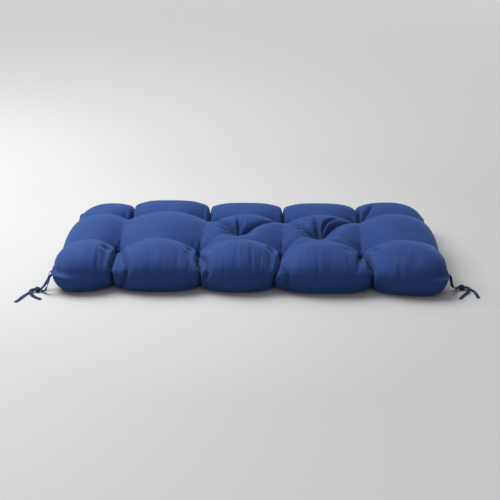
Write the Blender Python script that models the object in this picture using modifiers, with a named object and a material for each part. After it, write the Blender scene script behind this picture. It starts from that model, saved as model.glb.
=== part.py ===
"""A tufted bench cushion with two pairs of tie tapes.

Metres, +Z up. X runs along the cushion, -Y is its front edge, and it lies on its
underside at Z = 0. The cover is one cloth folded at the front edge, and sewn along both
ends and the back. Tufts pull the top cloth and the under cloth together.
"""

import math
from collections import namedtuple

import bmesh
import bpy
from mathutils import Matrix, Vector

# ---------------------------------------------------------------- sizes
SEAM_Z = 0.055  # height of the end seams, and of the front fold
CREST_Z = 0.127  # top of the bulges
TUFT_Z = 0.062  # the top cloth at a tuft
TUFT_UNDER_Z = 0.034  # the under cloth at a tuft
EDGE_ROUND = 0.105  # how far in from the front or back the top reaches its full height
END_ROUND = 0.085  # the same from the two ends
UNDER_ROUND = 0.055  # how far in from an edge the underside lies flat
PRESSED = 0.005  # how much of the underside's roundness the weight takes up
FLAT_UNDER = 0.0009  # below this the underside lies flat on the surface
PINCH = 0.030  # how far a channel draws the edge in
PINCH_WIDTH = 0.040
FRONT_BOW = 0.018  # the front edge draws in between its two corners
END_BOW = 0.006  # the ends draw in between their corners

COLUMN_CUTS = 6  # cage faces across one field
ROW_CUTS = (5, 6, 4)  # cage faces along the front, middle and back fields

TAPE_WIDTH = 0.010
TAPE_THICK = 0.0016
TAPE_STEPS = 26
GAP = 0.0003  # between pieces that touch
KNOT_ACROSS, KNOT_HIGH = 0.0150, 0.0084  # the opening that the two tapes run through
KNOT_LONG = 0.010
KNOT_WALL = 0.0018

# Where each sewn line crosses the front edge, the two tuft rows and the back edge.
Line = namedtuple("Line", "front tufts_front tufts_back back")
LINES = (
    Line(-0.559, -0.549, -0.528, -0.524),  # left end
    Line(-0.374, -0.375, -0.359, -0.354),
    Line(-0.148, -0.147, -0.124, -0.128),
    Line(0.074, 0.089, 0.093, 0.093),
    Line(0.322, 0.313, 0.318, 0.311),
    Line(0.559, 0.548, 0.526, 0.516),  # right end
)
ROWS = (-0.283, -0.086, 0.135, 0.266)

# Tufts in the middle of a field: field number from the left, place across and along it.
Extra = namedtuple("Extra", "field across along depth")
EXTRAS = (
    Extra(2, 0.5, 0.50, 1.00),
    Extra(3, 0.5, 0.47, 0.95),
)

# How full each field is, from the left, for the front, middle and back fields.
FULLNESS = (
    (0.97, 1.00, 0.99, 1.00, 1.02),
    (0.98, 1.03, 0.97, 0.96, 1.00),
    (0.93, 1.00, 0.95, 0.94, 1.00),
)


# The routes of the tie tapes' middle lines, from the seam through the knot to the free end.
Stop = namedtuple("Stop", "x y z")
ON_SURFACE = 2 * GAP + TAPE_THICK / 2
KNOT_Z = GAP + KNOT_WALL + KNOT_HIGH / 2 + 0.0006
LOWER, UPPER = KNOT_Z - 0.0013, KNOT_Z + 0.0013

# Where each knot lies and the way its tapes run through it.
Knot = namedtuple("Knot", "x y heading")
KNOTS = {
    "knot_left": Knot(-0.588, -0.240, math.radians(188)),
    "knot_right": Knot(0.590, -0.192, math.radians(12)),
}

# Each tape's stops before its knot, its level in the knot, and its stops after it.
Tape = namedtuple("Tape", "knot level before after")
TAPES = {
    "tie_left_a": Tape(
        "knot_left",
        LOWER,
        (
            Stop(-0.5448, -0.2437, 0.0535),
            Stop(-0.5520, -0.2500, 0.0480),
            Stop(-0.5600, -0.2545, 0.0220),
            Stop(-0.5690, -0.2480, 0.0056),
        ),
        (
            Stop(-0.6080, -0.2500, 0.0024),
            Stop(-0.6190, -0.2680, ON_SURFACE),
            Stop(-0.6280, -0.2920, ON_SURFACE),
            Stop(-0.6390, -0.3150, ON_SURFACE),
        ),
    ),
    "tie_left_b": Tape(
        "knot_left",
        UPPER,
        (
            Stop(-0.5485, -0.2180, 0.0535),
            Stop(-0.5560, -0.2175, 0.0485),
            Stop(-0.5640, -0.2200, 0.0250),
            Stop(-0.5725, -0.2300, 0.0115),
        ),
        (
            Stop(-0.6060, -0.2500, 0.0074),
            Stop(-0.6010, -0.2680, 0.0044),
            Stop(-0.5880, -0.2830, ON_SURFACE),
            Stop(-0.5730, -0.2950, ON_SURFACE),
        ),
    ),
    "tie_right_a": Tape(
        "knot_right",
        UPPER,
        (
            Stop(0.5462, -0.2462, 0.0535),
            Stop(0.5525, -0.2462, 0.0480),
            Stop(0.5610, -0.2350, 0.0250),
            Stop(0.5700, -0.2120, 0.0125),
        ),
        (
            Stop(0.6090, -0.1975, 0.0076),
            Stop(0.6060, -0.2160, 0.0046),
            Stop(0.5920, -0.2360, ON_SURFACE),
            Stop(0.5800, -0.2600, ON_SURFACE),
        ),
    ),
    "tie_right_b": Tape(
        "knot_right",
        LOWER,
        (
            Stop(0.5488, -0.2050, 0.0535),
            Stop(0.5560, -0.2030, 0.0460),
            Stop(0.5620, -0.1985, 0.0180),
            Stop(0.5715, -0.1950, 0.0046),
        ),
        (
            Stop(0.6120, -0.1920, 0.0024),
            Stop(0.6230, -0.2060, ON_SURFACE),
            Stop(0.6280, -0.2280, ON_SURFACE),
            Stop(0.6310, -0.2520, ON_SURFACE),
        ),
    ),
}


# ---------------------------------------------------------------- helpers
def between(table, at):
    """Linear reading of a table at a fractional index."""
    low = min(int(at), len(table) - 2)
    part = at - low
    return table[low] * (1 - part) + table[low + 1] * part


def well(distance, width, power=1.5):
    return math.exp(-((abs(distance) / width) ** power))


def spread(count):
    """Cage lines over one field, a little closer together beside its sewn lines."""
    places = []
    for i in range(count):
        s = i / count
        places.append(0.7 * s + 0.3 * (0.5 - 0.5 * math.cos(math.pi * s)))
    return places


def column_lines():
    fields = len(LINES) - 1
    return [f + s for f in range(fields) for s in spread(COLUMN_CUTS)] + [fields]


def row_lines():
    return [f + s for f, n in enumerate(ROW_CUTS) for s in spread(n)] + [len(ROW_CUTS)]


def line_x(column, row):
    """X of a fractional sewn line at a fractional row."""
    return between([between(tuple(line), row) for line in LINES], column)


# ---------------------------------------------------------------- the cushion's form
def plan(column, row):
    """The place in plan of a point of either cloth."""
    x, y = line_x(column, row), between(ROWS, row)
    fields, rows = len(LINES) - 1, len(ROWS) - 1
    # The edges are drawn in at each sewn line, and bow in between the corners.
    across = 2 * column / fields - 1
    for i in range(1, fields):
        near = well(x - line_x(i, row), PINCH_WIDTH)
        y += PINCH * near * (1 - min(row, 1)) ** 2
        y -= PINCH * 0.7 * near * max(0, row - rows + 1) ** 2
    y += FRONT_BOW * (1 - across**4) * (1 - min(row, 1)) ** 2
    side = 1 if across > 0 else -1
    for i in range(1, rows):
        near = well(y - between(ROWS, i), PINCH_WIDTH)
        x -= side * PINCH * 0.4 * near * max(0, abs(across) * fields / 2 - 1.5) ** 2
    along = 2 * row / rows - 1
    x -= side * END_BOW * (1 - along**4) * max(0, abs(across) * fields / 2 - 1.5) ** 2
    # Rounded corners.
    corner = max(0, abs(across) - 0.80) / 0.20 * max(0, abs(along) - 0.66) / 0.34
    x -= side * 0.016 * corner**2
    y -= (1 if along > 0 else -1) * 0.036 * corner**2
    return x, y


def pulls(column, row, x, y, channel_width, tuft_width):
    """How much of the height the tufts and the channels between them take, from 0 to 1."""
    fields, rows = len(LINES) - 1, len(ROWS) - 1
    left = 1.0
    for i in range(1, fields):
        # A channel runs between the two tufts of a line, and from each out to its edge.
        outside = min(1, max(1 - row, row - rows + 1, 0) / 0.4)
        left *= 1 - (0.30 + 0.28 * outside) * well(x - line_x(i, row), channel_width)
    for i in range(1, rows):
        left *= 1 - 0.30 * well(y - ROWS[i], channel_width * 1.15)
    taken = 0.0
    for i in range(1, fields):
        for j in range(1, rows):
            away = math.hypot(x - line_x(i, j), y - ROWS[j])
            taken = max(taken, well(away, tuft_width, 1.25))
    for extra in EXTRAS:
        centre_x = line_x(extra.field + extra.across, 1 + extra.along)
        centre_y = between(ROWS, 1 + extra.along)
        away = math.hypot(x - centre_x, y - centre_y)
        taken = max(taken, extra.depth * well(away, tuft_width, 1.25))
    return left, taken


def edge_rise(column, row, x, y, reach):
    """0 on the outline, 1 well inside it."""
    fields, rows = len(LINES) - 1, len(ROWS) - 1
    ends = min(abs(x - plan(0, row)[0]), abs(x - plan(fields, row)[0]))
    sides = min(abs(y - plan(column, 0)[1]), abs(y - plan(column, rows)[1]))
    end_reach = reach * END_ROUND / EDGE_ROUND
    a = 1 - min(ends / end_reach, 1)
    b = 1 - min(sides / reach, 1)
    return math.sqrt(max(0.0, 1 - (a**5 + b**5) ** 0.4))


def fullness(column, row):
    column_at = min(max(column - 0.5, 0), len(LINES) - 2)
    row_at = min(max(row - 0.5, 0), len(ROWS) - 2)
    return between([between(line, column_at) for line in FULLNESS], row_at)


def top(column, row):
    x, y = plan(column, row)
    left, taken = pulls(column, row, x, y, 0.032, 0.038)
    rise = edge_rise(column, row, x, y, EDGE_ROUND)
    full = SEAM_Z + (CREST_Z - SEAM_Z) * rise * left * fullness(column, row)
    low = min(full, TUFT_Z - 0.022)
    return Vector((x, y, full - (full - low) * taken * rise))


def under(column, row):
    x, y = plan(column, row)
    left, taken = pulls(column, row, x, y, 0.020, 0.026)
    rise = edge_rise(column, row, x, y, UNDER_ROUND)
    lift = SEAM_Z * (1 - rise) + 0.05 * (1 - left) * rise * (1 - rise)
    # Its own weight presses the underside flat, but for the wells at the tufts.
    lift = max(0.0, (lift - PRESSED) * SEAM_Z / (SEAM_Z - PRESSED))
    if rise > 0:
        lift = max(lift, TUFT_UNDER_Z * 1.35 * (taken - 0.18) / 0.82)
    return Vector((x, y, lift))


# ---------------------------------------------------------------- making
def material(name, colour, roughness):
    made = bpy.data.materials.new(name)
    made.use_nodes = True
    shader = made.node_tree.nodes["Principled BSDF"]
    shader.inputs["Base Color"].default_value = (*colour, 1)
    shader.inputs["Roughness"].default_value = roughness
    shader.inputs["Metallic"].default_value = 0.0
    return made


def add(name, mesh, collection, look):
    made = bpy.data.objects.new(name, mesh)
    collection.objects.link(made)
    made.data.materials.append(look)
    return made


def cloth(bm, columns, rows, place):
    """One cloth of the cover as a grid, each point put where place says."""
    grid = bmesh.ops.create_grid(bm, x_segments=len(columns) - 1, y_segments=len(rows) - 1, size=1.0)
    for vert in grid["verts"]:
        i = round((vert.co.x + 1) / 2 * (len(columns) - 1))
        j = round((vert.co.y + 1) / 2 * (len(rows) - 1))
        vert.co = place(columns[i], rows[j])
    return list({face for vert in grid["verts"] for face in vert.link_faces})


def cushion(collection, look):
    bm = bmesh.new()
    columns, rows = column_lines(), row_lines()
    cloth(bm, columns, rows, top)
    below = cloth(bm, columns, rows, under)
    bmesh.ops.reverse_faces(bm, faces=below)
    # Sew the two together all round.
    bmesh.ops.remove_doubles(bm, verts=bm.verts[:], dist=0.0001)
    bm.normal_update()
    # The end and back seams stay crisp. The front edge is a soft fold.
    crease = bm.edges.layers.float.new("crease_edge")
    front = min(v.co.y for v in bm.verts) + 0.05
    for edge in bm.edges:
        faces = edge.link_faces
        middle = (edge.verts[0].co + edge.verts[1].co) / 2
        at_seam = all(abs(v.co.z - SEAM_Z) < 1e-6 for v in edge.verts)
        if at_seam and faces[0].normal.z * faces[1].normal.z < 0:
            edge[crease] = 0.15 if middle.y < front and abs(middle.x) < 0.52 else 0.55
    mesh = bpy.data.meshes.new("cushion")
    bm.to_mesh(mesh)
    bm.free()
    made = add("cushion", mesh, collection, look)
    smooth = made.modifiers.new("soft", "SUBSURF")
    smooth.levels = smooth.render_levels = 1
    press_flat(made)
    return made


def press_flat(made):
    """Applies the smoothing, lays the underside flat, and centres the box over the origin."""
    bpy.context.view_layer.update()
    graph = bpy.context.evaluated_depsgraph_get()
    finished = bpy.data.meshes.new_from_object(made.evaluated_get(graph))
    cage, made.data = made.data, finished
    made.modifiers.clear()
    bpy.data.meshes.remove(cage)
    for vert in finished.vertices:
        if vert.co.z < FLAT_UNDER:
            vert.co.z = 0.0
    xs = [v.co.x for v in finished.vertices]
    ys = [v.co.y for v in finished.vertices]
    middle = Vector(((min(xs) + max(xs)) / 2, (min(ys) + max(ys)) / 2, 0))
    finished.transform(Matrix.Translation(-middle))
    finished.shade_smooth()


# ---------------------------------------------------------------- ties
def curve_through(stops, steps):
    """Evenly spaced points on a smooth curve through the stops."""
    ends = [2 * stops[0] - stops[1], *stops, 2 * stops[-1] - stops[-2]]
    fine = []
    for a, b, c, d in zip(ends, ends[1:], ends[2:], ends[3:]):
        for k in range(16):
            t = k / 16
            fine.append(
                0.5
                * (
                    2 * b
                    + (c - a) * t
                    + (2 * a - 5 * b + 4 * c - d) * t * t
                    + (3 * b - a - 3 * c + d) * t**3
                )
            )
    fine.append(stops[-1])
    far = [0.0]
    for a, b in zip(fine, fine[1:]):
        far.append(far[-1] + (b - a).length)
    points, k = [], 0
    for i in range(steps + 1):
        want = far[-1] * i / steps
        while k < len(far) - 2 and far[k + 1] < want:
            k += 1
        part = (want - far[k]) / (far[k + 1] - far[k])
        points.append(fine[k].lerp(fine[k + 1], min(part, 1.0)))
    return points


def tape_route(tape):
    knot = KNOTS[tape.knot]
    way = Vector((math.cos(knot.heading), math.sin(knot.heading), 0))
    middle = Vector((knot.x, knot.y, tape.level))
    reach = KNOT_LONG / 2 + 0.002
    stops = [Vector(s) for s in tape.before]
    stops += [middle - way * reach, middle + way * reach]
    stops += [Vector(s) for s in tape.after]
    return curve_through(stops, TAPE_STEPS)


def tape_mesh(route):
    """A flat strip along the route, level across its width."""
    bm = bmesh.new()
    steps = len(route) - 1
    grid = bmesh.ops.create_grid(bm, x_segments=steps, y_segments=1, size=1.0)
    for vert in grid["verts"]:
        i = round((vert.co.x + 1) / 2 * steps)
        ahead = route[min(i + 1, steps)] - route[max(i - 1, 0)]
        across = Vector((0, 0, 1)).cross(ahead).normalized()
        vert.co = route[i] + across * (TAPE_WIDTH / 2 if vert.co.y > 0 else -TAPE_WIDTH / 2)
    mesh = bpy.data.meshes.new("tape")
    bm.to_mesh(mesh)
    bm.free()
    return mesh


def tape(name, collection, look):
    made = add(name, tape_mesh(tape_route(TAPES[name])), collection, look)
    thick = made.modifiers.new("thick", "SOLIDIFY")
    thick.thickness = TAPE_THICK
    thick.offset = 0.0
    thick.use_even_offset = True
    return made


def knot(name, collection, look):
    """The outer turn of the knot: a short open sleeve, fuller at its middle."""
    bm = bmesh.new()
    bmesh.ops.create_cone(
        bm, cap_ends=False, segments=18, radius1=1, radius2=1, depth=KNOT_LONG
    )
    lengthwise = [e for e in bm.edges if abs(e.verts[0].co.z - e.verts[1].co.z) > KNOT_LONG / 2]
    bmesh.ops.subdivide_edges(bm, edges=lengthwise, cuts=3)
    for vert in bm.verts:
        full = 1 + 0.16 * math.cos(math.pi * vert.co.z / KNOT_LONG)
        vert.co.x *= KNOT_HIGH / 2 * full
        vert.co.y *= KNOT_ACROSS / 2 * full
    bmesh.ops.recalc_face_normals(bm, faces=bm.faces[:])
    mesh = bpy.data.meshes.new("knot")
    bm.to_mesh(mesh)
    bm.free()
    mesh.shade_smooth()
    made = add(name, mesh, collection, look)
    place = KNOTS[name]
    made.rotation_euler = (Matrix.Rotation(place.heading, 3, "Z") @ Matrix.Rotation(math.pi / 2, 3, "Y")).to_euler()
    made.location = (place.x, place.y, KNOT_Z)
    wall = made.modifiers.new("wall", "SOLIDIFY")
    wall.thickness = KNOT_WALL
    wall.offset = 1.0
    return made


def main():
    for old in list(bpy.data.objects):
        bpy.data.objects.remove(old, do_unlink=True)
    collection = bpy.data.collections.new("bench_cushion")
    bpy.context.scene.collection.children.link(collection)
    cloth_look = material("cover_cloth", (0.018, 0.055, 0.200), 0.85)
    cushion(collection, cloth_look)
    tape_look = material("tie_tape", (0.012, 0.035, 0.130), 0.85)
    for name in TAPES:
        tape(name, collection, tape_look)
    for name in KNOTS:
        knot(name, collection, tape_look)


main()
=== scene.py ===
"""The looks of a tufted seat cushion: cloth settled over its filling, tie tapes, knots and their materials.

Metres, +Z up. X runs along the cushion, -Y is its front edge, and it lies on Z = 0.
"""

import math
from collections import namedtuple

import bpy
import numpy as np
from mathutils import Matrix, Vector

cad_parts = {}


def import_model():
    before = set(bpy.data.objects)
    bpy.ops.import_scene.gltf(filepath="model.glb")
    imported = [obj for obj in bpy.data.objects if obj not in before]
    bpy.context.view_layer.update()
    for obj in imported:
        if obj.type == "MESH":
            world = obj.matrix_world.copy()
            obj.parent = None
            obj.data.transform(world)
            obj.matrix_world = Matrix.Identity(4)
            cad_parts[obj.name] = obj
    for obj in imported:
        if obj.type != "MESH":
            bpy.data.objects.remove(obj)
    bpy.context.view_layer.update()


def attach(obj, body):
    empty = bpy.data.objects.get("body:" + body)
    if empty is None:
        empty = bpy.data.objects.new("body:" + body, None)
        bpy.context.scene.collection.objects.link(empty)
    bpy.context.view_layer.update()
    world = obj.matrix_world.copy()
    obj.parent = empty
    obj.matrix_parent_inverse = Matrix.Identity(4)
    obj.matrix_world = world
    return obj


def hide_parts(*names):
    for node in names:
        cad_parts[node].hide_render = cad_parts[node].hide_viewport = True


# ---------------------------------------------------------------- sizes of the filled form
SEAM_Z = 0.055
# X of each sewn line at the front edge, the two tuft rows and the back edge.
Line = namedtuple("Line", "front tufts_front tufts_back back")
LINES = np.array(
    (
        Line(-0.559, -0.549, -0.528, -0.524),
        Line(-0.384, -0.375, -0.359, -0.354),
        Line(-0.140, -0.147, -0.124, -0.128),
        Line(0.066, 0.089, 0.093, 0.090),
        Line(0.338, 0.313, 0.318, 0.306),
        Line(0.559, 0.548, 0.526, 0.516),
    )
)
ROWS = np.array((-0.283, -0.086, 0.135, 0.266))
# Height of the crest of each bulge, from the left: front, middle and back row.
CREST = np.array(
    (
        (0.119, 0.122, 0.125, 0.123, 0.125),
        (0.123, 0.127, 0.121, 0.120, 0.127),
        (0.102, 0.115, 0.108, 0.109, 0.115),
    )
)
# Height along a sewn line from the front edge (0) over the tuft rows (1 and 2) to the back (3).
Station = namedtuple("Station", "row height")
VALLEY = np.array(
    (
        Station(0.00, 0.074),
        Station(0.35, 0.074),
        Station(0.65, 0.072),
        Station(0.85, 0.066),
        Station(1.00, 0.058),
        Station(1.15, 0.080),
        Station(1.32, 0.095),
        Station(1.50, 0.103),
        Station(1.68, 0.097),
        Station(1.85, 0.081),
        Station(2.00, 0.058),
        Station(2.25, 0.076),
        Station(2.50, 0.092),
        Station(3.00, 0.092),
    )
)
ROW_DIP = 0.020  # how far the valley between the tufts of a row lies under the crests
PINCH, PINCH_WIDTH = 0.034, 0.034  # how a sewn line draws the edge in
FRONT_BOW, END_BOW = 0.022, 0.005
EDGE_ROUND = 0.120  # how far in from the front or back the top is still rounding
END_ROUND = (0.145, 0.125)  # the same from the left and the right end
UNDER_ROUND, PRESSED = 0.060, 0.005
UNDER_TUFT = 0.030
# line: the sewn line on its left; left and right: how deep the valleys to the tufts behind it are.
Star = namedtuple("Star", "line x y top under left right")
STARS = (Star(2, -0.036, 0.012, 0.070, 0.024, 0.013, 0.022), Star(3, 0.196, 0.000, 0.070, 0.022, 0.019, 0.019))
STAR_REACH = 0.030
POINTED = 1.5  # a star's pit is this much steeper in front, and pointed there
LIP, LIP_AT = 0.017, 0.036  # how far the form is drawn down before each star, and how far before it
DRAWN_WIDTH, DRAWN_BEFORE = 0.032, 0.014

# Folds of the cloth: the stops of each along its way, its depth at the start, the middle and
# the end, and its width. In front the second number of a stop is how far it is from the tuft
# row (0) to the front edge (1) and on under it; on top it is Y.
Fold = namedtuple("Fold", "stops start middle end width swell", defaults=(0.0,))
SWELL, SWELL_BEHIND = 0.62, 0.74  # how closely the flanks of two bulges meet in front and behind
FRONT_FOLDS = (
    Fold(((-0.377, 0.0), (-0.382, 0.6), (-0.386, 0.88), (-0.382, 1.06), (-0.380, 1.4)), 0.018, 0.018, 0.010, 0.0065, SWELL),
    Fold(((-0.371, 0.06), (-0.348, 0.67), (-0.339, 0.88), (-0.344, 1.0), (-0.358, 1.3)), 0.004, 0.015, 0.005, 0.0060),
    Fold(((-0.368, 0.35), (-0.362, 0.9), (-0.364, 1.15)), 0.0, 0.004, 0.001, 0.006),
    Fold(((-0.147, 0.0), (-0.148, 0.6), (-0.139, 0.88), (-0.139, 1.14), (-0.139, 1.4)), 0.018, 0.019, 0.010, 0.0065, SWELL),
    Fold(((-0.139, 0.40), (-0.130, 0.74), (-0.130, 0.91), (-0.136, 1.08)), 0.001, 0.008, 0.001, 0.0045),
    Fold(((-0.144, 0.34), (-0.125, 0.70), (-0.117, 0.90), (-0.119, 1.0), (-0.128, 1.18)), 0.001, 0.014, 0.002, 0.0058),
    Fold(((0.087, 0.0), (0.083, 0.48), (0.078, 0.79), (0.072, 0.98), (0.066, 1.11), (0.064, 1.4)), 0.018, 0.019, 0.010, 0.0065, SWELL),
    Fold(((0.093, 0.02), (0.097, 0.34), (0.090, 0.68)), 0.004, 0.011, 0.001, 0.0055),
    Fold(((0.086, 0.76), (0.103, 1.0), (0.099, 1.25)), 0.0, 0.010, 0.003, 0.0065),
    Fold(((0.312, 0.0), (0.305, 0.5), (0.297, 0.92)), 0.018, 0.018, 0.001, 0.0060),
    Fold(((0.317, 0.08), (0.325, 0.45), (0.333, 0.70), (0.339, 0.88), (0.339, 1.05), (0.338, 1.4)), 0.003, 0.020, 0.012, 0.0075, SWELL),
    Fold(((0.321, 0.36), (0.327, 0.75), (0.325, 1.08)), 0.001, 0.009, 0.001, 0.0045),
)
TOP_FOLDS = (
    # round the left star
    Fold(((-0.036, 0.012), (-0.080, 0.062), (-0.122, 0.131)), 0.013, 0.022, 0.004, 0.0082),
    Fold(((-0.036, 0.012), (0.024, 0.058), (0.090, 0.131)), 0.013, 0.022, 0.004, 0.0082),
    Fold(((-0.036, 0.012), (-0.038, 0.052), (-0.042, 0.112)), 0.014, 0.014, 0.001, 0.0055),
    Fold(((-0.028, 0.018), (-0.026, 0.050), (-0.029, 0.088)), 0.004, 0.004, 0.000, 0.0050),
    Fold(((-0.036, 0.012), (-0.088, -0.036), (-0.140, -0.080)), 0.008, 0.005, 0.005, 0.012),
    Fold(((-0.036, 0.012), (0.028, -0.036), (0.084, -0.080)), 0.008, 0.006, 0.005, 0.013),
    Fold(((-0.052, 0.008), (-0.076, 0.010), (-0.100, -0.002)), 0.002, 0.005, 0.000, 0.005),
    Fold(((-0.060, 0.030), (-0.082, 0.036), (-0.104, 0.030)), 0.002, 0.004, 0.000, 0.005),
    # round the right star
    Fold(((0.196, 0.000), (0.146, 0.036), (0.095, 0.129)), 0.013, 0.022, 0.004, 0.0082),
    Fold(((0.196, 0.000), (0.252, 0.058), (0.314, 0.129)), 0.013, 0.022, 0.004, 0.0082),
    Fold(((0.196, 0.000), (0.189, 0.040), (0.182, 0.098)), 0.014, 0.017, 0.001, 0.0080),
    Fold(((0.200, 0.006), (0.208, 0.034), (0.224, 0.066), (0.254, 0.108)), 0.008, 0.016, 0.004, 0.0052),
    Fold(((0.170, 0.058), (0.160, 0.078), (0.146, 0.092)), 0.001, 0.006, 0.000, 0.005),
    Fold(((0.196, 0.000), (0.144, -0.042), (0.096, -0.080)), 0.008, 0.005, 0.005, 0.012),
    Fold(((0.196, 0.000), (0.254, -0.042), (0.307, -0.080)), 0.008, 0.006, 0.005, 0.013),
    Fold(((0.178, 0.000), (0.158, -0.006), (0.138, -0.026)), 0.002, 0.005, 0.000, 0.005),
    Fold(((0.160, 0.016), (0.144, 0.012), (0.128, -0.006)), 0.000, 0.004, 0.000, 0.005),
    Fold(((0.216, 0.004), (0.238, 0.012), (0.262, 0.004)), 0.002, 0.005, 0.000, 0.005),
    # from the back tufts to the back edge
    Fold(((-0.359, 0.135), (-0.357, 0.190), (-0.354, 0.262)), 0.006, 0.015, 0.008, 0.006),
    Fold(((-0.124, 0.135), (-0.127, 0.190), (-0.128, 0.262)), 0.006, 0.016, 0.008, 0.006),
    Fold(((0.093, 0.135), (0.091, 0.190), (0.088, 0.262)), 0.006, 0.016, 0.008, 0.006),
    Fold(((0.318, 0.135), (0.316, 0.180), (0.303, 0.215), (0.306, 0.262)), 0.006, 0.016, 0.008, 0.006),
    Fold(((0.322, 0.140), (0.336, 0.156), (0.350, 0.178), (0.364, 0.212)), 0.006, 0.016, 0.003, 0.006),
)
# Fine upright folds on the front of each bulge.
Crinkle = namedtuple("Crinkle", "count depth width")
CRINKLES = (Crinkle(13, 0.0023, 0.0030), Crinkle(4, 0.0030, 0.0070))
PUCKER = 0.0009
CREASE_SHADE_FULL = 0.014  # a fold this deep gets the full painted shade

# ---------------------------------------------------------------- the cloth
Level = namedtuple("Level", "cell steps")
LEVELS = (Level(0.011, 300), Level(0.0056, 360), Level(0.0046, 25))
PRESS = 0.06  # the filling's push
DAMPING = 0.97
SWEEPS = 2
TIGHT, SLACK, SHEAR = 1.0, 0.7, 0.3  # how the threads answer pull, push and shear
BEND = 0.06
ROW_GAP = (0.95, 0.66, 0.85)  # the cells' length behind, between and before the tuft rows
CORNER_HIGH, CORNER_LONG, CORNER_PASSES = 0.030, 0.090, 40
HOLD, HOLD_LENGTH, HOLD_SMOOTH, HOLD_FOLD = 0.03, 0.060, 0.02, 0.08  # how the filling keeps its form

# ---------------------------------------------------------------- tapes and knots
GAP = 0.0003
TAPE_WIDTH, TAPE_THICK = 0.010, 0.0016
KNOT_ACROSS, KNOT_HIGH, KNOT_LONG, KNOT_WALL = 0.0150, 0.0084, 0.010, 0.0018
ON_SURFACE = 2 * GAP + TAPE_THICK / 2
KNOT_Z = GAP + KNOT_WALL + KNOT_HIGH / 2 + 0.0006
LOWER, UPPER = KNOT_Z - 0.0013, KNOT_Z + 0.0013

Stop = namedtuple("Stop", "x y z")
Knot = namedtuple("Knot", "x y heading")
KNOTS = {
    "knot_left": Knot(-0.588, -0.240, math.radians(188)),
    "knot_right": Knot(0.590, -0.192, math.radians(12)),
}
Tape = namedtuple("Tape", "knot level before after")
TAPES = {
    "tie_left_a": Tape(
        "knot_left",
        LOWER,
        (
            Stop(-0.5448, -0.2437, 0.0535),
            Stop(-0.5520, -0.2500, 0.0480),
            Stop(-0.5600, -0.2545, 0.0220),
            Stop(-0.5690, -0.2480, 0.0056),
        ),
        (
            Stop(-0.6080, -0.2500, 0.0024),
            Stop(-0.6190, -0.2680, ON_SURFACE),
            Stop(-0.6280, -0.2920, ON_SURFACE),
            Stop(-0.6390, -0.3150, ON_SURFACE),
        ),
    ),
    "tie_left_b": Tape(
        "knot_left",
        UPPER,
        (
            Stop(-0.5485, -0.2180, 0.0535),
            Stop(-0.5560, -0.2175, 0.0485),
            Stop(-0.5640, -0.2200, 0.0250),
            Stop(-0.5725, -0.2300, 0.0115),
        ),
        (
            Stop(-0.6060, -0.2500, 0.0074),
            Stop(-0.6010, -0.2680, 0.0044),
            Stop(-0.5880, -0.2830, ON_SURFACE),
            Stop(-0.5730, -0.2950, ON_SURFACE),
        ),
    ),
    "tie_right_a": Tape(
        "knot_right",
        UPPER,
        (
            Stop(0.5462, -0.2462, 0.0535),
            Stop(0.5525, -0.2462, 0.0480),
            Stop(0.5610, -0.2350, 0.0250),
            Stop(0.5700, -0.2120, 0.0125),
        ),
        (
            Stop(0.6090, -0.1975, 0.0076),
            Stop(0.6060, -0.2160, 0.0046),
            Stop(0.5920, -0.2360, ON_SURFACE),
            Stop(0.5800, -0.2600, ON_SURFACE),
        ),
    ),
    "tie_right_b": Tape(
        "knot_right",
        LOWER,
        (
            Stop(0.5488, -0.2050, 0.0535),
            Stop(0.5560, -0.2030, 0.0460),
            Stop(0.5620, -0.1985, 0.0180),
            Stop(0.5715, -0.1950, 0.0046),
        ),
        (
            Stop(0.6120, -0.1920, 0.0024),
            Stop(0.6230, -0.2060, ON_SURFACE),
            Stop(0.6280, -0.2280, ON_SURFACE),
            Stop(0.6310, -0.2520, ON_SURFACE),
        ),
    ),
}


# ================================================================ the filled form
def well(distance, width, power):
    return np.exp(-(np.abs(distance / width) ** power))


def line_x(column, row):
    """X of a fractional sewn line at a fractional row."""
    column, row = np.broadcast_arrays(column, row)
    k = np.clip(column.astype(int), 0, len(LINES) - 2)
    r = np.clip(row.astype(int), 0, len(ROWS) - 2)
    across, along = column - k, row - r
    near = LINES[k, r] * (1 - along) + LINES[k, r + 1] * along
    far = LINES[k + 1, r] * (1 - along) + LINES[k + 1, r + 1] * along
    return near * (1 - across) + far * across


def plan(column, row):
    """The place in plan of a point of the cover: the edges are drawn in at each sewn line."""
    column, row = np.broadcast_arrays(np.asarray(column, float), np.asarray(row, float))
    fields, rows = len(LINES) - 1, len(ROWS) - 1
    x, y = line_x(column, row), np.interp(row, np.arange(rows + 1), ROWS)
    across = 2 * column / fields - 1
    along = 2 * row / rows - 1
    side = np.sign(across)
    front = (1 - np.minimum(row, 1)) ** 2
    back = np.maximum(0, row - rows + 1) ** 2
    end = np.maximum(0, np.abs(across) * fields / 2 - 1.5) ** 2
    for i in range(1, fields):
        near = well(x - line_x(np.full_like(row, i), row), PINCH_WIDTH, 1.1)
        y = y + PINCH * near * front - PINCH * 0.7 * near * back
    y = y + FRONT_BOW * (1 - across**4) * front
    for i in range(1, rows):
        x = x - side * 0.006 * well(y - ROWS[i], 0.05, 1.5) * end
    x = x - side * END_BOW * (1 - along**4) * end
    corner = np.maximum(0, np.abs(across) - 0.80) / 0.20 * np.maximum(0, np.abs(along) - 0.66) / 0.34
    x = x - side * 0.013 * corner**2
    y = y - np.sign(along) * np.where(along > 0, 0.034, 0.024) * corner**2
    return x, y


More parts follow.
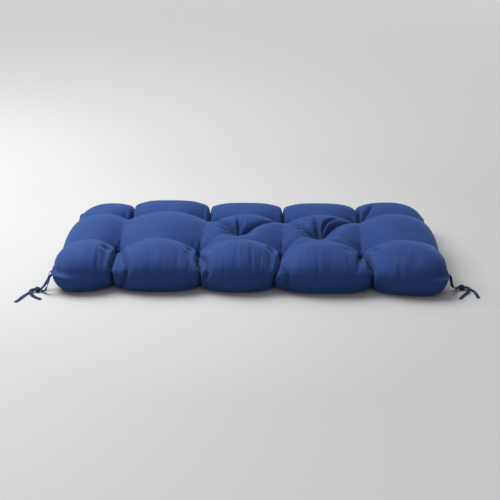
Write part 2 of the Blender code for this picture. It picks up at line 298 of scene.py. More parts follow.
def edge_rise(column, row, x, y, reach):
    """0 on the outline, 1 well inside it."""
    last = len(LINES) - 1
    ends = np.minimum(np.abs(x - plan(0 * column, row)[0]), np.abs(x - plan(0 * column + last, row)[0]))
    sides = np.minimum(np.abs(y - plan(column, 0 * row)[1]), np.abs(y - plan(column, 0 * row + 3)[1]))
    end_reach = np.where(column < last / 2, *END_ROUND) * reach / EDGE_ROUND
    a = 1 - np.minimum(ends / end_reach, 1)
    b = 1 - np.minimum(sides / reach, 1)
    c = np.minimum((a**3.2 + b**3.2) ** (1 / 3.2), 1)
    return (1 - c**2.3) ** (1 / 2.3)


def from_star(star, x, y):
    """Distance from a star: round behind it, and pointed in front of it."""
    across, along = np.abs(x - star.x), y - star.y
    pointed = across + POINTED * np.maximum(-along, 0)
    return np.hypot(across, along) * (along > 0) + pointed * (along <= 0)


def top(column, row):
    column, row = np.broadcast_arrays(np.asarray(column, float), np.asarray(row, float))
    x, y = plan(column, row)
    k, r = np.clip(column.astype(int), 0, 4), np.clip(row.astype(int), 0, 2)
    u, v = column - k, row - r
    # Crests change smoothly from row to row.
    behind = np.clip(row - 0.5, 0, 2)
    r0 = np.minimum(behind.astype(int), 1)
    part = behind - r0
    part = part * part * (3 - 2 * part)
    crest = CREST[r0, k] * (1 - part) + CREST[r0 + 1, k] * part
    near_row = np.where(r == 0, 2 * (1 - v), np.where(r == 2, 2 * v, 2 * np.minimum(v, 1 - v)))
    crest = crest - ROW_DIP * (1 - np.clip(near_row, 0, 1)) ** 1.8
    # Each bulge arches from sewn line to sewn line, and the outer ones run level to their end.
    outer = ((k == 0) & (u < 0.5)) | ((k == 4) & (u > 0.5))
    across = np.where(outer, 0.0, np.abs(2 * u - 1))
    sharp = 2.0 + 2.5 * np.clip((row - 2) / 0.4, 0, 1) + 0.3 * np.clip((1 - row) / 0.4, 0, 1)
    valley = np.interp(row, VALLEY[:, 0], VALLEY[:, 1])
    # Between the tuft rows the valleys are rounded, elsewhere two bulges meet in a crease.
    lap = 0.16 * np.sin(np.pi * np.clip(row - 1, 0, 1)) ** 2
    z = crest - (crest - valley) * (1 - np.sqrt((1 - across**sharp) ** 2 + lap**2))
    z = SEAM_Z + (z - SEAM_Z) * edge_rise(column, row, x, y, EDGE_ROUND)
    for star in STARS:
        z = z - LIP * well(x - star.x, 0.040, 1.1) * well(y - star.y + LIP_AT, 0.036, 2)
        # The cloth is drawn down on the way from the star to the tufts behind it.
        for line, drawn in zip(LINES[star.line : star.line + 2], (star.left, star.right)):
            route = ((star.x, star.y - DRAWN_BEFORE), (line[2], ROWS[2] - DRAWN_BEFORE))
            away, way = along_route(np.stack([x, y], -1), route)
            z = z - drawn * well(away, DRAWN_WIDTH, 2) * (1 - way**2)
        z = z + (np.minimum(z, star.top) - z) * well(from_star(star, x, y), STAR_REACH, 1.05)
    return np.stack([x, y, z], -1)


def under(column, row):
    column, row = np.broadcast_arrays(np.asarray(column, float), np.asarray(row, float))
    x, y = plan(column, row)
    rise = edge_rise(column, row, x, y, UNDER_ROUND)
    left = np.ones_like(x)
    for i in range(1, 5):
        out = np.clip(np.maximum(1 - row, row - 2) / 0.4, 0, 1)
        left = left * (1 - (0.1 + 0.35 * out) * well(x - line_x(np.full_like(row, i), row), 0.026, 1.5))
    z = SEAM_Z * (1 - rise) + 0.11 * (1 - left) * rise * (1 - rise)
    z = np.maximum(0, (z - PRESSED) * SEAM_Z / (SEAM_Z - PRESSED))
    tufts = [(LINES[i, j], ROWS[j], UNDER_TUFT) for i in range(1, 5) for j in (1, 2)]
    for tuft_x, tuft_y, high in tufts + [(s.x, s.y, s.under) for s in STARS]:
        away = np.hypot(x - tuft_x, y - tuft_y)
        z = np.maximum(z, high * (well(away, 0.030, 1.2) - 0.15) / 0.85)
    return np.stack([x, y, z], -1)


def evenly(points, marks, counts):
    """Points along a line, evenly spaced between its marked stations."""
    far = np.concatenate([[0], np.cumsum(np.linalg.norm(np.diff(points, axis=0), axis=1))])
    want = [far[:1]]
    for a, b, n in zip(marks, marks[1:], counts):
        want.append(far[a] + (far[b] - far[a]) * (np.arange(n) + 1) / n)
    want = np.concatenate(want)
    return np.stack([np.interp(want, far, points[:, c]) for c in range(3)], 1)


def steps_between(counts):
    """Even fractional stations: whole numbers at the marks."""
    return np.concatenate([[0.0]] + [k + (np.arange(n) + 1) / n for k, n in enumerate(counts)])


def along_route(points, route):
    """Distance of each point (.., 2) from a route, and the share of the way of the nearest place."""
    route = np.asarray(route, float)
    lengths = np.linalg.norm(np.diff(route, axis=0), axis=1)
    total, gone = lengths.sum(), 0.0
    best = np.full(points.shape[:-1], 1e9)
    share = np.zeros(points.shape[:-1])
    for a, b, length in zip(route, route[1:], lengths):
        t = np.clip(((points - a) @ (b - a)) / length**2, 0, 1)
        away = np.linalg.norm(points - (a + t[..., None] * (b - a)), axis=-1)
        nearer = away < best
        best = np.where(nearer, away, best)
        share = np.where(nearer, (gone + t * length) / total, share)
        gone += length
    return best, share


def smooth_route(stops, steps=40):
    stops = np.asarray(stops, float)
    ends = np.concatenate([[2 * stops[0] - stops[1]], stops, [2 * stops[-1] - stops[-2]]])
    out = []
    for a, b, c, d in zip(ends, ends[1:], ends[2:], ends[3:]):
        for t in np.arange(steps) / steps:
            bend, twist = 2 * a - 5 * b + 4 * c - d, 3 * b - a - 3 * c + d
            out.append(0.5 * (2 * b + (c - a) * t + bend * t**2 + twist * t**3))
    out.append(stops[-1])
    return np.array(out)


def area_vectors(x):
    """Outward vector of each point, as long as the cloth's area there."""
    e, f = np.empty_like(x), np.empty_like(x)
    e[1:-1], e[0], e[-1] = x[2:] - x[:-2], 2 * (x[1] - x[0]), 2 * (x[-1] - x[-2])
    f[:, 1:-1] = x[:, 2:] - x[:, :-2]
    f[:, 0], f[:, -1] = 2 * (x[:, 1] - x[:, 0]), 2 * (x[:, -1] - x[:, -2])
    return np.cross(f, e) / 4


class Cover:
    """The cover as one sheet of cells: i along the length, j from the back seam over the top,
    round the fold at the front edge, and back under to the same seam."""

    def __init__(self, cell):
        self.cell = cell
        fine = 160
        column = np.linspace(0, 5, 5 * fine + 1)
        section = (top(column, np.full_like(column, 1.5)) + top(column, np.full_like(column, 0.62))) / 2
        # Columns stand closer together at the sewn lines and the stars.
        gap = np.full(len(column), cell)
        for k in range(1, 5):
            x = line_x(np.full(1, float(k)), np.full(1, 0.9))
            gap = np.minimum(gap, cell * (1 - 0.60 * well(section[:, 0] - x, 0.034, 1.6)))
        for star in STARS:
            gap = np.minimum(gap, cell * (1 - 0.40 * well(section[:, 0] - star.x, 0.060, 3.0)))
        pace = np.linalg.norm(np.diff(section, axis=0), axis=1) / ((gap[1:] + gap[:-1]) / 2)
        far = np.concatenate([[0], np.cumsum(pace)])
        marks = np.arange(6) * fine
        counts = [2 * round((far[q] - far[p]) / 2) for p, q in zip(marks, marks[1:])]
        places = [[0.0]]
        for p, q, n in zip(marks, marks[1:], counts):
            places.append(np.interp(far[p] + (far[q] - far[p]) * (np.arange(n) + 1) / n, far, column))
        places = np.concatenate(places)
        self.a = steps_between(counts)
        self.ci = np.concatenate([[0], np.cumsum(counts)])
        rows = np.linspace(3, 0, 3 * fine + 1)
        over = top(*np.meshgrid(places, rows, indexing="ij"))
        below = under(*np.meshgrid(places, rows[::-1][1:], indexing="ij"))
        whole = np.concatenate([over, below], 1)
        marks = np.arange(7) * fine
        middles = [whole[np.argmin(np.abs(self.a - c))] for c in (0.5, 1.5, 2.5, 3.5, 4.5)]
        lengths = np.mean(
            [
                [np.linalg.norm(np.diff(m[p : q + 1], axis=0), axis=1).sum() for p, q in zip(marks, marks[1:])]
                for m in middles
            ],
            0,
        )
        counts = [2 * round((lengths[k] + lengths[5 - k]) / 2 / (cell * ROW_GAP[min(k, 5 - k)]) / 2) for k in range(6)]
        self.b = steps_between(counts)
        self.rj = np.concatenate([[0], np.cumsum(counts)])
        self.form = np.stack([evenly(w, marks, counts) for w in whole])
        self.fold_form()
        self.set_lengths()

    def chart(self):
        """X, and the share of the way from the front tuft row (0) to the front fold (1)."""
        form, fold, tufts = self.form, self.rj[3], self.rj[2]
        far = np.concatenate(
            [np.zeros((len(form), 1)), np.cumsum(np.linalg.norm(np.diff(form, axis=1), axis=2), 1)], 1
        )
        far = far - far[:, fold][:, None]
        return form[..., 0], 1 - far / far[:, tufts][:, None]

    def fold_form(self):
        """Presses the folds into the filled form."""
        form, fold = self.form, self.rj[3]
        x, share = self.chart()
        # Shares are turned into metres so that a fold is as wide along as across.
        front = np.stack([x, share * 0.22], -1)
        deep = np.zeros(x.shape)
        for f in FRONT_FOLDS:
            route = smooth_route([(a, b * 0.22) for a, b in f.stops], 12)
            deep = np.maximum(deep, self.groove(front, route, f) * (share > -0.4))
        top_side = (np.arange(len(self.b)) <= fold)[None]
        flat = form[..., :2]
        for f in TOP_FOLDS:
            deep = np.maximum(deep, self.groove(flat, smooth_route(f.stops, 12), f) * top_side)
        # Fine upright folds in front.
        rng = np.random.default_rng(23)
        for k in range(5):
            for kind in CRINKLES:
                for _ in range(kind.count):
                    at = np.array(k + rng.uniform(0.12, 0.88))
                    begin, end = rng.uniform(0.28, 0.60), rng.uniform(0.80, 1.30)
                    lean = rng.uniform(-0.012, 0.012)
                    x0 = float(line_x(at, np.array(0.3)))
                    depth = kind.depth * rng.uniform(0.5, 1.0) * rng.choice((1.0, 1.0, -0.7))
                    stops = ((x0, begin * 0.22), (x0 + lean, end * 0.22))
                    crinkle = Fold(stops, 0.0, depth, 0.0, kind.width * rng.uniform(0.8, 1.3))
                    deep += self.groove(front, stops, crinkle)
        # The cloth puckers along its seams.
        n, m = x.shape
        def uneven(place):
            return sum(np.sin(place * rate + turn) for rate, turn in ((171, 0.4), (263, 2.1), (397, 4.4))) / 2

        from_end = np.minimum(np.arange(n), n - 1 - np.arange(n))[:, None] * self.cell
        from_back = np.minimum(np.arange(m), m - 1 - np.arange(m))[None] * self.cell
        deep += PUCKER * uneven(form[..., 1]) * well(from_end, 0.014, 1)
        deep += PUCKER * uneven(form[..., 0]) * well(from_back, 0.014, 1)
        deep += PUCKER * 0.5
        # The folds go straight into the filling, so their two sides nearly meet.
        soft = area_vectors(running_mean(form, round(0.030 / self.cell)))
        soft /= np.maximum(np.linalg.norm(soft, axis=2, keepdims=True), 1e-12)
        form -= running_mean(soft, round(0.015 / self.cell)) * deep[..., None]
        # The flanks of two bulges swell towards each other until they nearly meet.
        for f in FRONT_FOLDS:
            if f.swell:
                stops = np.array(f.stops)
                off = form[..., 0] - np.interp(share, stops[:, 1], stops[:, 0])
                near = np.clip((share + 0.02) / 0.25, 0, 1) * np.clip((1.5 - share) / 0.2, 0, 1)
                form[..., 0] -= f.swell * off * well(off, 0.018, 2) * near
        behind = np.clip(np.maximum(1 - self.b, self.b - 5) / 0.35, 0, 1)
        for k in range(1, 5):
            off = form[..., 0] - form[self.ci[k], :, 0]
            form[..., 0] -= SWELL_BEHIND * off * well(off, 0.018, 2) * behind
        self.deep = deep
        form[..., 2] = np.maximum(form[..., 2], 0)

    @staticmethod
    def groove(points, route, f):
        away, way = along_route(points, route)
        start, end = f.start * (1 - way) * (1 - 2 * way), f.end * way * (2 * way - 1)
        depth = start + 4 * f.middle * way * (1 - way) + end
        depth = np.sign(f.middle) * np.maximum(depth * np.sign(f.middle), 0)
        return depth * well(away, f.width, 1.35)

    def set_lengths(self):
        """The cloth's own lengths: the form's, with some to spare round the tufts."""
        form = self.form
        x, share = self.chart()
        far = np.concatenate(
            [np.zeros((len(form), 1)), np.cumsum(np.linalg.norm(np.diff(form, axis=1), axis=2), 1)], 1
        )
        t = far - far[:, self.rj[3]][:, None]
        extra = np.zeros((3, *x.shape))  # along the columns, along the rows, and in shear
        ss, tt, st = extra

        def ring(i, j, amount, reach):
            ds, dt = x - x[i, j], t - t[i, j]
            r = np.hypot(ds, dt) + 1e-9
            a = amount * np.exp(-((r / reach) ** 2))
            extra[0] += a * (dt / r) ** 2
            extra[1] += a * (ds / r) ** 2
            extra[2] -= a * ds * dt / r**2

        self.pins = []
        for k in range(1, 5):
            for j in (1, 2, 4, 5):
                ring(self.ci[k], self.rj[j], 0.16, 0.045)
                self.pins.append((self.ci[k], self.rj[j]))
        for star in STARS:
            for lo, hi in ((1, 2), (4, 5)):
                part = form[:, self.rj[lo] : self.rj[hi] + 1]
                away = np.hypot(part[..., 0] - star.x, part[..., 1] - star.y)
                i, j = np.unravel_index(away.argmin(), away.shape)
                ring(i, j + self.rj[lo], 0.10, 0.050)
                self.pins.append((i, j + self.rj[lo]))
        band = np.clip(share / 0.15, 0, 1) * np.clip((1.5 - share) / 0.3, 0, 1)
        for k in range(1, 5):
            line = line_x(np.full(x.shape, float(k)), np.clip(1 - share, 0, 1))
            ss += 0.10 * np.exp(-(((x - line) / 0.026) ** 2)) * band
        amount = running_mean((ss + tt)[..., None], max(1, int(0.008 / self.cell)))
        self.smooth_hold = HOLD_SMOOTH * (1 - np.clip(amount / 0.06, 0, 1)) ** 2
        self.smooth_hold += HOLD_FOLD * np.clip(self.deep / 0.010, 0, 1)[..., None]
        mid = lambda f, ax: (np.take(f, range(1, f.shape[ax]), ax) + np.take(f, range(f.shape[ax] - 1), ax)) / 2
        ei = np.linalg.norm(form[1:] - form[:-1], axis=2)
        ej = np.linalg.norm(form[:, 1:] - form[:, :-1], axis=2)
        self.rest_i = ei * np.sqrt(1 + 2 * mid(ss, 0))
        self.rest_j = ej * np.sqrt(1 + 2 * mid(tt, 1))
        quad = lambda f: (f[1:, 1:] + f[:-1, 1:] + f[1:, :-1] + f[:-1, :-1]) / 4
        wide, tall = (ei[:, 1:] + ei[:, :-1]) / 2, (ej[1:] + ej[:-1]) / 2
        both = np.maximum(wide**2 + tall**2, 1e-12)
        even = 1 + 2 * (quad(ss) * wide**2 + quad(tt) * tall**2) / both
        twist = 4 * quad(st) * wide * tall / both
        down = np.linalg.norm(form[1:, 1:] - form[:-1, :-1], axis=2)
        rising = np.linalg.norm(form[:-1, 1:] - form[1:, :-1], axis=2)
        self.rest_down = down * np.sqrt(np.maximum(0.3, even + twist))
        self.rest_up = rising * np.sqrt(np.maximum(0.3, even - twist))


# ================================================================ the cloth settles
def running_mean(f, reach):
    for axis in (0, 1):
        n = f.shape[axis]
        total = np.cumsum(f, axis=axis)
        total = np.concatenate([np.zeros_like(np.take(total, [0], axis)), total], axis)
        high = np.minimum(np.arange(n) + reach + 1, n)
        low = np.maximum(np.arange(n) - reach, 0)
        count = (high - low).reshape((-1, 1, 1) if axis == 0 else (1, -1, 1))
        f = (np.take(total, high, axis) - np.take(total, low, axis)) / count
    return f


def pull(a, b, rest, tight, slack):
    """Moves the two ends of every thread towards its length."""
    d = b - a
    length = np.sqrt(np.einsum("...k,...k->...", d, d))
    off = length - rest
    d *= (np.where(off > 0, tight, slack) * off / np.maximum(length, 1e-9) * 0.5)[..., None]
    a += d
    b -= d


def pull_all(x, cover):
    N, M = x.shape[:2]
    for first in (0, 1):
        n = first + (N - first) // 2 * 2
        pull(x[first:n:2], x[first + 1 : n + 1 : 2], cover.rest_i[first:n:2], TIGHT, SLACK)
    for first in (0, 1):
        m = first + (M - first) // 2 * 2
        pull(x[:, first:m:2], x[:, first + 1 : m + 1 : 2], cover.rest_j[:, first:m:2], TIGHT, SLACK)
    for first in (0, 1):
        n = first + (N - first) // 2 * 2
        pull(x[first:n:2, :-1], x[first + 1 : n + 1 : 2, 1:], cover.rest_down[first:n:2], SHEAR, SHEAR)
        pull(x[first + 1 : n + 1 : 2, :-1], x[first:n:2, 1:], cover.rest_up[first:n:2], SHEAR, SHEAR)


def unbend(d, amount):
    """Takes the sharpest bends out of a displacement."""

    def spread(f):
        out = np.zeros_like(f)
        out[1:-1] += f[2:] + f[:-2] - 2 * f[1:-1]
        out[:, 1:-1] += f[:, 2:] + f[:, :-2] - 2 * f[:, 1:-1]
        return out

    return d - amount * spread(spread(d)) / 4


def sew(x):
    """The ends and the back are sewn: the edges' points are one."""
    for i in (0, -1):
        x[i] = (x[i] + x[i, ::-1]) / 2
    both = (x[:, 0] + x[:, -1]) / 2
    x[:, 0] = both
    x[:, -1] = both


def settle(cover, x, steps):
    form = cover.form
    pi, pj = (np.array(k) for k in zip(*cover.pins))
    reach = max(1, round(HOLD_LENGTH / cover.cell / 2))
    before = x.copy()
    for _ in range(steps):
        moved = (x - before) * DAMPING
        before = x.copy()
        x = x + moved + area_vectors(x) * PRESS
        x += HOLD * running_mean(form - before, reach) + cover.smooth_hold * (form - before)
        for _ in range(SWEEPS):
            pull_all(x, cover)
            x = form + unbend(x - form, BEND)
            sew(x)
            x[pi, pj] = form[pi, pj]
            np.maximum(x[..., 2], 0, out=x[..., 2])
    return x


def round_corners(cover, x):
    """Smooths the cloth where the front fold runs into the end seams, so that no sharp ear is left."""
    n, m = x.shape[:2]
    front = cover.rj[3]
    along = np.abs(np.arange(m) - front)[None] * cover.cell
    from_end = np.minimum(np.arange(n), n - 1 - np.arange(n))[:, None] * cover.cell
    amount = (0.5 * well(along, CORNER_HIGH, 2) * well(from_end, CORNER_LONG, 2))[1:-1, 1:-1, None]
    for _ in range(CORNER_PASSES):
        around = (x[2:, 1:-1] + x[:-2, 1:-1] + x[1:-1, 2:] + x[1:-1, :-2]) / 4
        x[1:-1, 1:-1] += amount * (around - x[1:-1, 1:-1])
    return x


def finer(old, new, x):
    """The finer cover's displacement from its form, read from the coarser one's."""

    def places(have, want):
        k = np.clip(np.searchsorted(have, want, side="right") - 1, 0, len(have) - 2)
        return k, (want - have[k]) / (have[k + 1] - have[k])

    d = x - old.form
    k, w = places(old.a, new.a)
    d = d[k] * (1 - w)[:, None, None] + d[k + 1] * w[:, None, None]
    k, w = places(old.b, new.b)
    return new.form + d[:, k] * (1 - w)[None, :, None] + d[:, k + 1] * w[None, :, None]


def settled_cover():
    rng = np.random.default_rng(7)
    cover = x = None
    for level in LEVELS:
        made = Cover(level.cell)
        if x is None:
            x = made.form + 0.0005 * rng.standard_normal(made.form.shape)
        else:
            x = finer(cover, made, x)
        cover = made
        x = settle(cover, x, level.steps)
    return cover, round_corners(cover, x)


def strip(near, far, i):
    """The faces between two neighbouring columns, given the rows at which each has its points."""
    both = sorted(set(near) & set(far))
    faces = []
    for a, b in zip(both, both[1:]):
        left = [(i, j) for j in near[near.index(a) : near.index(b) + 1]]
        right = [(i + 1, j) for j in far[far.index(a) : far.index(b) + 1]]
        faces.append(left + right[::-1])
    return faces


def cushion_mesh(cover, x):
    """One closed mesh of the sewn cover, with the cloth's own coordinates."""
    N, M = x.shape[:2]
    every = list(range(M))
    # Under the cushion, where it is flat, every third row is enough, except along the end seams.
    low, high = cover.rj[3] + 14, cover.rj[6] - 10
    few = [j for j in every if j <= low or j >= high or (j - low) % 3 == 0]
    rows = [every, every] + [few] * (N - 4) + [every, every]
    faces = sum((strip(rows[i], rows[i + 1], i) for i in range(N - 1)), [])
    point = np.arange(N * M).reshape(N, M)
    same = point.copy()
    for i in (0, N - 1):
        same[i, M // 2 + 1 :] = same[i, : M // 2][::-1]
    same[:, M - 1] = same[:, 0]
    corners = np.array([i * M + j for face in faces for i, j in face])
    kept, index = np.unique(same.reshape(-1)[corners], return_inverse=True)
    ends = np.cumsum([len(face) for face in faces])
    rings = [ring.tolist() for ring in np.split(index, ends[:-1])]
    mesh = bpy.data.meshes.new("cover_cloth")
    mesh.from_pydata(x.reshape(-1, 3)[kept].tolist(), [], rings)

    def run(f, axis):
        step = np.linalg.norm(np.diff(f, axis=axis), axis=2)
        start = np.zeros_like(np.take(step, [0], axis))
        return np.concatenate([start, np.cumsum(step, axis=axis)], axis)

    s, t = run(cover.form, 0), run(cover.form, 1)
    s, t = s - s.mean(0), t - t[:, [cover.rj[3]]]
    uv = np.stack([s, t], -1).reshape(-1, 2)[corners]
    layer = mesh.uv_layers.new(name="Cloth")
    layer.uv.foreach_set("vector", uv.astype(np.float32).ravel())
    side = np.minimum(s - s[[0]], s[[-1]] - s)
    back = np.minimum(t - t[:, [0]], t[:, [-1]] - t)
    made = mesh.attributes.new("seam", "FLOAT", "POINT")
    made.data.foreach_set("value", np.minimum(side, back).reshape(-1)[kept].astype(np.float32))
    # The depth of each fold, the mask of the painted shade in the folds.
    made = mesh.attributes.new("fold", "FLOAT", "POINT")
    made.data.foreach_set("value", np.clip(cover.deep / CREASE_SHADE_FULL, 0, 1).reshape(-1)[kept].astype(np.float32))
    mesh.shade_smooth()
    return mesh


# ================================================================ tapes and knots
def spaced(points, count):
    far = np.concatenate([[0], np.cumsum(np.linalg.norm(np.diff(points, axis=0), axis=1))])
    want = np.linspace(0, far[-1], count)
    return np.stack([np.interp(want, far, points[:, c]) for c in range(3)], 1), far[-1]


def tape_route(tape, count=90):
    knot = KNOTS[tape.knot]
    way = np.array((math.cos(knot.heading), math.sin(knot.heading), 0))
    middle = np.array((knot.x, knot.y, tape.level))
    reach = KNOT_LONG / 2 + 0.002
    stops = [*map(np.array, tape.before), middle - way * reach, middle + way * reach, *map(np.array, tape.after)]
    return spaced(smooth_route(stops, 24), count)


def tube_mesh(name, rings, closed_ends=True):
    """A closed skin over rings of equally many points."""
    rings = np.asarray(rings)
    n, m = rings.shape[:2]
    at = np.arange(n * m).reshape(n, m)
    nxt = np.roll(at, -1, axis=1)
    faces = np.stack([at[:-1], nxt[:-1], nxt[1:], at[1:]], -1).reshape(-1, 4).tolist()
    if closed_ends:
        faces += [at[0, ::-1].tolist(), at[-1].tolist()]
    mesh = bpy.data.meshes.new(name)
    mesh.from_pydata(rings.reshape(-1, 3).tolist(), [], faces)
    mesh.validate()
    return mesh


def tape_rings(route, seed):
    """Sections of a tape folded from cloth: two lips with a stitched groove between them."""
    rng = np.random.default_rng(seed)
    n = len(route)
    ahead = np.gradient(route, axis=0)
    ahead /= np.linalg.norm(ahead, axis=1, keepdims=True)
    across = np.cross((0, 0, 1.0), ahead)
    across /= np.linalg.norm(across, axis=1, keepdims=True)
    up = np.cross(ahead, across)
    s = np.linspace(0, 1, n)
    phase = rng.uniform(0, 6.28, 4)
    roll = 0.10 * np.sin(9 * s + phase[0]) + 0.07 * np.sin(23 * s + phase[1])
    width = TAPE_WIDTH / 2 * (1 - 0.05 * np.sin(31 * s + phase[2]) ** 2 - 0.03 * np.sin(57 * s + phase[3]) ** 2)
    half = TAPE_THICK / 2 * 0.92
    # The free end is turned in and sewn down, so it is thicker there.
    half = half * (1 + 0.25 * np.clip((s - 0.955) / 0.01, 0, 1))
    rings = []
    angles = np.linspace(0, 2 * np.pi, 21)[:-1]
    for k in range(n):
        c, d = np.cos(roll[k]), np.sin(roll[k])
        side, rise = across[k] * c + up[k] * d, up[k] * c - across[k] * d
        lift = abs(d) * width[k] * 0.8
        ring = []
        for a in angles:
            w = np.sign(np.cos(a)) * abs(np.cos(a)) ** 0.55 * width[k]
            h = np.sign(np.sin(a)) * abs(np.sin(a)) ** 0.7 * half[k]
            middle = math.exp(-((w / 0.0011) ** 2))
            stitches = math.exp(-(((abs(w) - width[k] * 0.72) / 0.0008) ** 2))
            h *= 1 - 0.30 * middle - 0.12 * stitches
            ring.append(route[k] + side * w + rise * h + np.array((0, 0, lift)))
        rings.append(ring)
    rings = np.array(rings)
    rings[..., 2] = np.maximum(rings[..., 2], 0.0002)
    return rings


def knot_rings(knot, turns=1.75, count=130, seed=3):
    """A tape wound tightly round the other two, its ends tucked in."""
    rng = np.random.default_rng(seed)
    way = np.array((math.cos(knot.heading), math.sin(knot.heading), 0))
    across = np.array((-way[1], way[0], 0))
    up = np.array((0, 0, 1.0))
    middle = np.array((knot.x, knot.y, KNOT_Z))
    t = np.linspace(0, 1, count)
    angle = 2 * np.pi * turns * t + 1.1
    slide = (t - 0.5) * 0.0075 + 0.0012 * np.sin(angle)
    layer = 0.0007 + 0.0013 * np.clip((t - 0.35) / 0.3, 0, 1)
    tuck = 0.0016 * (np.clip((0.06 - t) / 0.06, 0, 1) + np.clip((t - 0.94) / 0.06, 0, 1))
    a, b = KNOT_ACROSS / 2 + layer - tuck, KNOT_HIGH / 2 + layer - tuck
    centre = middle + way * slide[:, None] + across * (np.cos(angle) * a)[:, None] + up * (np.sin(angle) * b)[:, None]
    ahead = np.gradient(centre, axis=0)
    ahead /= np.linalg.norm(ahead, axis=1, keepdims=True)
    out = across * (np.cos(angle) / a)[:, None] + up * (np.sin(angle) / b)[:, None]
    out -= ahead * np.sum(out * ahead, 1)[:, None]
    out /= np.linalg.norm(out, axis=1, keepdims=True)
    side = np.cross(ahead, out)
    phase = rng.uniform(0, 6.28, 3)
    rings = []
    turn = np.linspace(0, 2 * np.pi, 25)[:-1]
    for k in range(count):
        width = 0.0040 * (1 + 0.12 * math.sin(2 * angle[k] + phase[0]))
        ring = []
        for q in turn:
            w = np.sign(np.cos(q)) * abs(np.cos(q)) ** 0.7 * width
            h = np.sin(q) * 0.0011
            crease = 0.00035 * math.cos(w / width * 7 + phase[1] + 0.6 * math.sin(angle[k] + phase[2]))
            ring.append(centre[k] + side[k] * w + out[k] * (h + (crease if h > 0 else 0)))
        rings.append(ring)
    rings = np.array(rings)
    rings[..., 2] = np.maximum(rings[..., 2], 0.0002)
    return rings


# ================================================================ materials
def new_material(name):
    made = bpy.data.materials.new(name)
    made.use_nodes = True
    tree = made.node_tree
    return made, tree, tree.nodes["Principled BSDF"]


def node(tree, kind, inputs=None, **settings):
    """A new node, with its inputs linked or set."""
    made = tree.nodes.new(kind)
    for key, value in settings.items():
        setattr(made, key, value)
    for key, value in (inputs or {}).items():
        if isinstance(value, bpy.types.NodeSocket):
            tree.links.new(value, made.inputs[key])
        else:
            made.inputs[key].default_value = value
    return made


def maths(tree, operation, a, b=0.0):
    return node(tree, "ShaderNodeMath", {0: a, 1: b}, operation=operation).outputs[0]


def woven_cloth(name, colour, pitch, uv="Cloth", seam=False):
    """Plain woven cloth: two sets of threads, slubs, a faint mottle and a soft sheen; with seam set, also painted shade
    along the seams and in deep folds.
    """
    made, tree, shader = new_material(name)
    if uv:
        place = node(tree, "ShaderNodeUVMap", uv_map=uv).outputs["UV"]
    else:
        place = node(tree, "ShaderNodeTexCoord").outputs["Object"]
    split = node(tree, "ShaderNodeSeparateXYZ", {0: place})
    waves = []
    for axis, other in (("X", "Y"), ("Y", "X")):
        wander = node(tree, "ShaderNodeTexNoise", {"Vector": place, "Scale": 90.0, "Detail": 2.0})
        shifted = maths(tree, "ADD", split.outputs[axis], maths(tree, "MULTIPLY", wander.outputs["Fac"], pitch * 0.6))
        phase = maths(tree, "MULTIPLY", shifted, 2 * math.pi / pitch)
        waves.append(maths(tree, "SINE", phase))
    weave = maths(tree, "MULTIPLY", waves[0], waves[1])
    threads = maths(tree, "ADD", maths(tree, "ABSOLUTE", waves[0]), maths(tree, "ABSOLUTE", waves[1]))
    height = maths(tree, "ADD", maths(tree, "MULTIPLY", weave, 0.5), threads)
    slub_place = node(tree, "ShaderNodeMapping", {"Vector": place, "Scale": (40.0, 700.0, 1.0)})
    slubs = node(tree, "ShaderNodeTexNoise", {"Vector": slub_place.outputs[0], "Scale": 1.0, "Detail": 3.0})
    mottle = node(tree, "ShaderNodeTexNoise", {"Vector": place, "Scale": 14.0, "Detail": 4.0, "Roughness": 0.6})
    patches = maths(tree, "MULTIPLY", mottle.outputs["Fac"], 0.5)
    tone = maths(tree, "ADD", patches, maths(tree, "MULTIPLY", slubs.outputs["Fac"], 0.5))
    tone = maths(tree, "ADD", tone, maths(tree, "MULTIPLY", threads, 0.10))
    if seam:
        # Painted shade along the seams: the cloth is painted darker within 4.5 mm of them.
        near = node(tree, "ShaderNodeAttribute", attribute_name="seam").outputs["Fac"]
        shade = node(
            tree,
            "ShaderNodeMapRange",
            {"Value": near, "From Min": 0.0, "From Max": 0.0045, "To Min": -0.5, "To Max": 0.0},
        ).outputs[0]
        tone = maths(tree, "ADD", tone, shade)
        # Painted shade: deep folds are painted darker than their open form alone would make them, standing in for the
        # shade that falls into them.
        folded = node(tree, "ShaderNodeAttribute", attribute_name="fold").outputs["Fac"]
        tone = maths(tree, "ADD", tone, maths(tree, "MULTIPLY", folded, -0.45))
    ramp = node(tree, "ShaderNodeValToRGB", {"Fac": tone})
    stops = ramp.color_ramp.elements
    stops.new(0.25)
    for stop, at, share in zip(stops, (0.0, 0.25, 0.85), (0.50, 0.80, 1.18)):
        stop.position = at
        stop.color = (*[min(1, c * share) for c in colour], 1)
    tree.links.new(ramp.outputs["Color"], shader.inputs["Base Color"])
    rough = node(tree, "ShaderNodeMapRange", {"Value": slubs.outputs["Fac"], "To Min": 0.78, "To Max": 0.95}).outputs[0]
    tree.links.new(rough, shader.inputs["Roughness"])
    fine = node(tree, "ShaderNodeBump", {"Height": height, "Strength": 0.35, "Distance": pitch * 0.25})
    rolling = node(tree, "ShaderNodeTexNoise", {"Vector": place, "Scale": 60.0, "Detail": 3.0})
    soft = node(
        tree,
        "ShaderNodeBump",
        {"Height": rolling.outputs["Fac"], "Strength": 0.5, "Distance": 0.0012, "Normal": fine.outputs[0]},
    )
    tree.links.new(soft.outputs[0], shader.inputs["Normal"])
    shader.inputs["Specular IOR Level"].default_value = 0.25
    shader.inputs["Sheen Weight"].default_value = 0.28
    shader.inputs["Sheen Roughness"].default_value = 0.30
    shader.inputs["Sheen Tint"].default_value = (0.25, 0.50, 1.0, 1)
    return made


# ================================================================ putting it together
def link(name, mesh, material):
    made = bpy.data.objects.new(name, mesh)
    bpy.context.scene.collection.objects.link(made)
    mesh.materials.append(material)
    return made


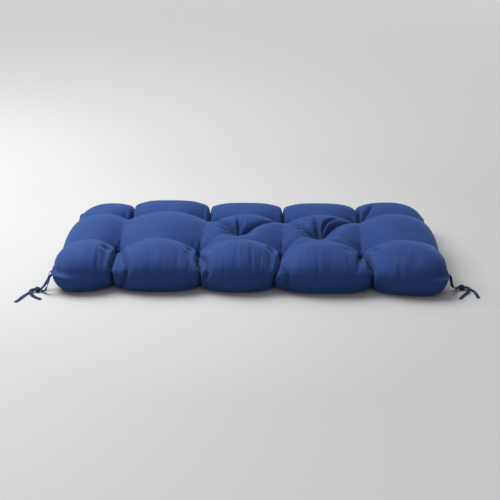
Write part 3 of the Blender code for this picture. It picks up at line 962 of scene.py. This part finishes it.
def set_camera():
    camera = bpy.data.cameras.new("camera")
    made = bpy.data.objects.new("camera", camera)
    bpy.context.scene.collection.objects.link(made)
    camera.sensor_width = 36.0
    camera.lens = 115.9
    camera.clip_end = 100.0
    pitch, yaw, roll = math.radians(22.009), math.radians(0.902), math.radians(0.295)
    made.matrix_world = (
        Matrix.Translation((0.0644, -4.3253, 1.7831))
        @ Matrix.Rotation(yaw, 4, "Z")
        @ Matrix.Rotation(math.pi / 2 - pitch, 4, "X")
        @ Matrix.Rotation(roll, 4, "Z")
    )
    bpy.context.scene.camera = made


def soft_light(name, come_from, spread, strength, colour=(1, 1, 1)):
    """An even light with no falloff, as wide as a studio's soft box."""
    light = bpy.data.lights.new(name, "SUN")
    light.angle = math.radians(spread)
    light.energy = strength
    light.color = colour
    made = bpy.data.objects.new(name, light)
    made.rotation_euler = Vector(come_from).to_track_quat("Z", "Y").to_euler()
    bpy.context.scene.collection.objects.link(made)


def set_stage():
    material, tree, shader = new_material("floor_pale")
    # The floor is paler farther out: painted light that keeps the background pale, while near the cushion it stays
    # darker.
    place = node(tree, "ShaderNodeTexCoord").outputs["Object"]
    away = node(tree, "ShaderNodeVectorMath", {0: place}, operation="LENGTH").outputs["Value"]
    tone = node(
        tree,
        "ShaderNodeMapRange",
        {"Value": away, "From Min": 0.9, "From Max": 5.0, "To Min": 0.44, "To Max": 0.86},
    )
    tree.links.new(tone.outputs[0], shader.inputs["Base Color"])
    shader.inputs["Roughness"].default_value = 0.9
    mesh = bpy.data.meshes.new("floor")
    half = 20.0
    mesh.from_pydata([(-half, -half, 0), (half, -half, 0), (half, half, 0), (-half, half, 0)], [], [(0, 1, 2, 3)])
    floor = link("floor", mesh, material)
    floor.location.z = -0.0002
    world = bpy.data.worlds.new("studio")
    world.use_nodes = True
    world.node_tree.nodes["Background"].inputs[0].default_value = (1.0, 1.0, 1.0, 1)
    world.node_tree.nodes["Background"].inputs[1].default_value = 0.37
    bpy.context.scene.world = world
    # A soft key from behind and the left, partly near enough to fall off along the cushion.
    soft_light("key", (-0.20, 0.50, 1.0), 60, 1.38)
    soft_light("fill", (-0.5, -1.0, 0.9), 80, 0.28)
    light = bpy.data.lights.new("soft_box", "AREA")
    light.size, light.energy = 1.4, 54
    made = bpy.data.objects.new("soft_box", light)
    made.location = (-1.25, 0.35, 1.75)
    made.rotation_euler = (made.location - Vector((-0.1, 0, 0))).to_track_quat("Z", "Y").to_euler()
    bpy.context.scene.collection.objects.link(made)
    bpy.context.scene.view_settings.view_transform = "Standard"


def main():
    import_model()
    set_camera()
    # The tapes are the cover's navy painted well under half as bright: painted shade for the shade they lie in.
    shaded_tape_cloth = woven_cloth("shaded_tape_cloth", (0.0065, 0.0175, 0.068), 0.0007, uv=None)
    for name, knot in KNOTS.items():
        piece = link(f"{name}_wraps", tube_mesh(name, knot_rings(knot)), shaded_tape_cloth)
        piece.data.shade_smooth()
        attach(piece, "root")
        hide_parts(name)
    for seed, (name, tape) in enumerate(TAPES.items()):
        route, length = tape_route(tape)
        piece = link(f"{name}_tape", tube_mesh(name, tape_rings(route, seed + 40)), shaded_tape_cloth)
        piece.data.shade_smooth()
        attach(piece, "root")
        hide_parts(name)
    cover, x = settled_cover()
    cloth = woven_cloth("cover_cloth", (0.0127, 0.0420, 0.161), 0.0007, seam=True)
    cushion = link("cushion_cover", cushion_mesh(cover, x), cloth)
    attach(cushion, "root")
    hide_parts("cushion")
    set_stage()


main()
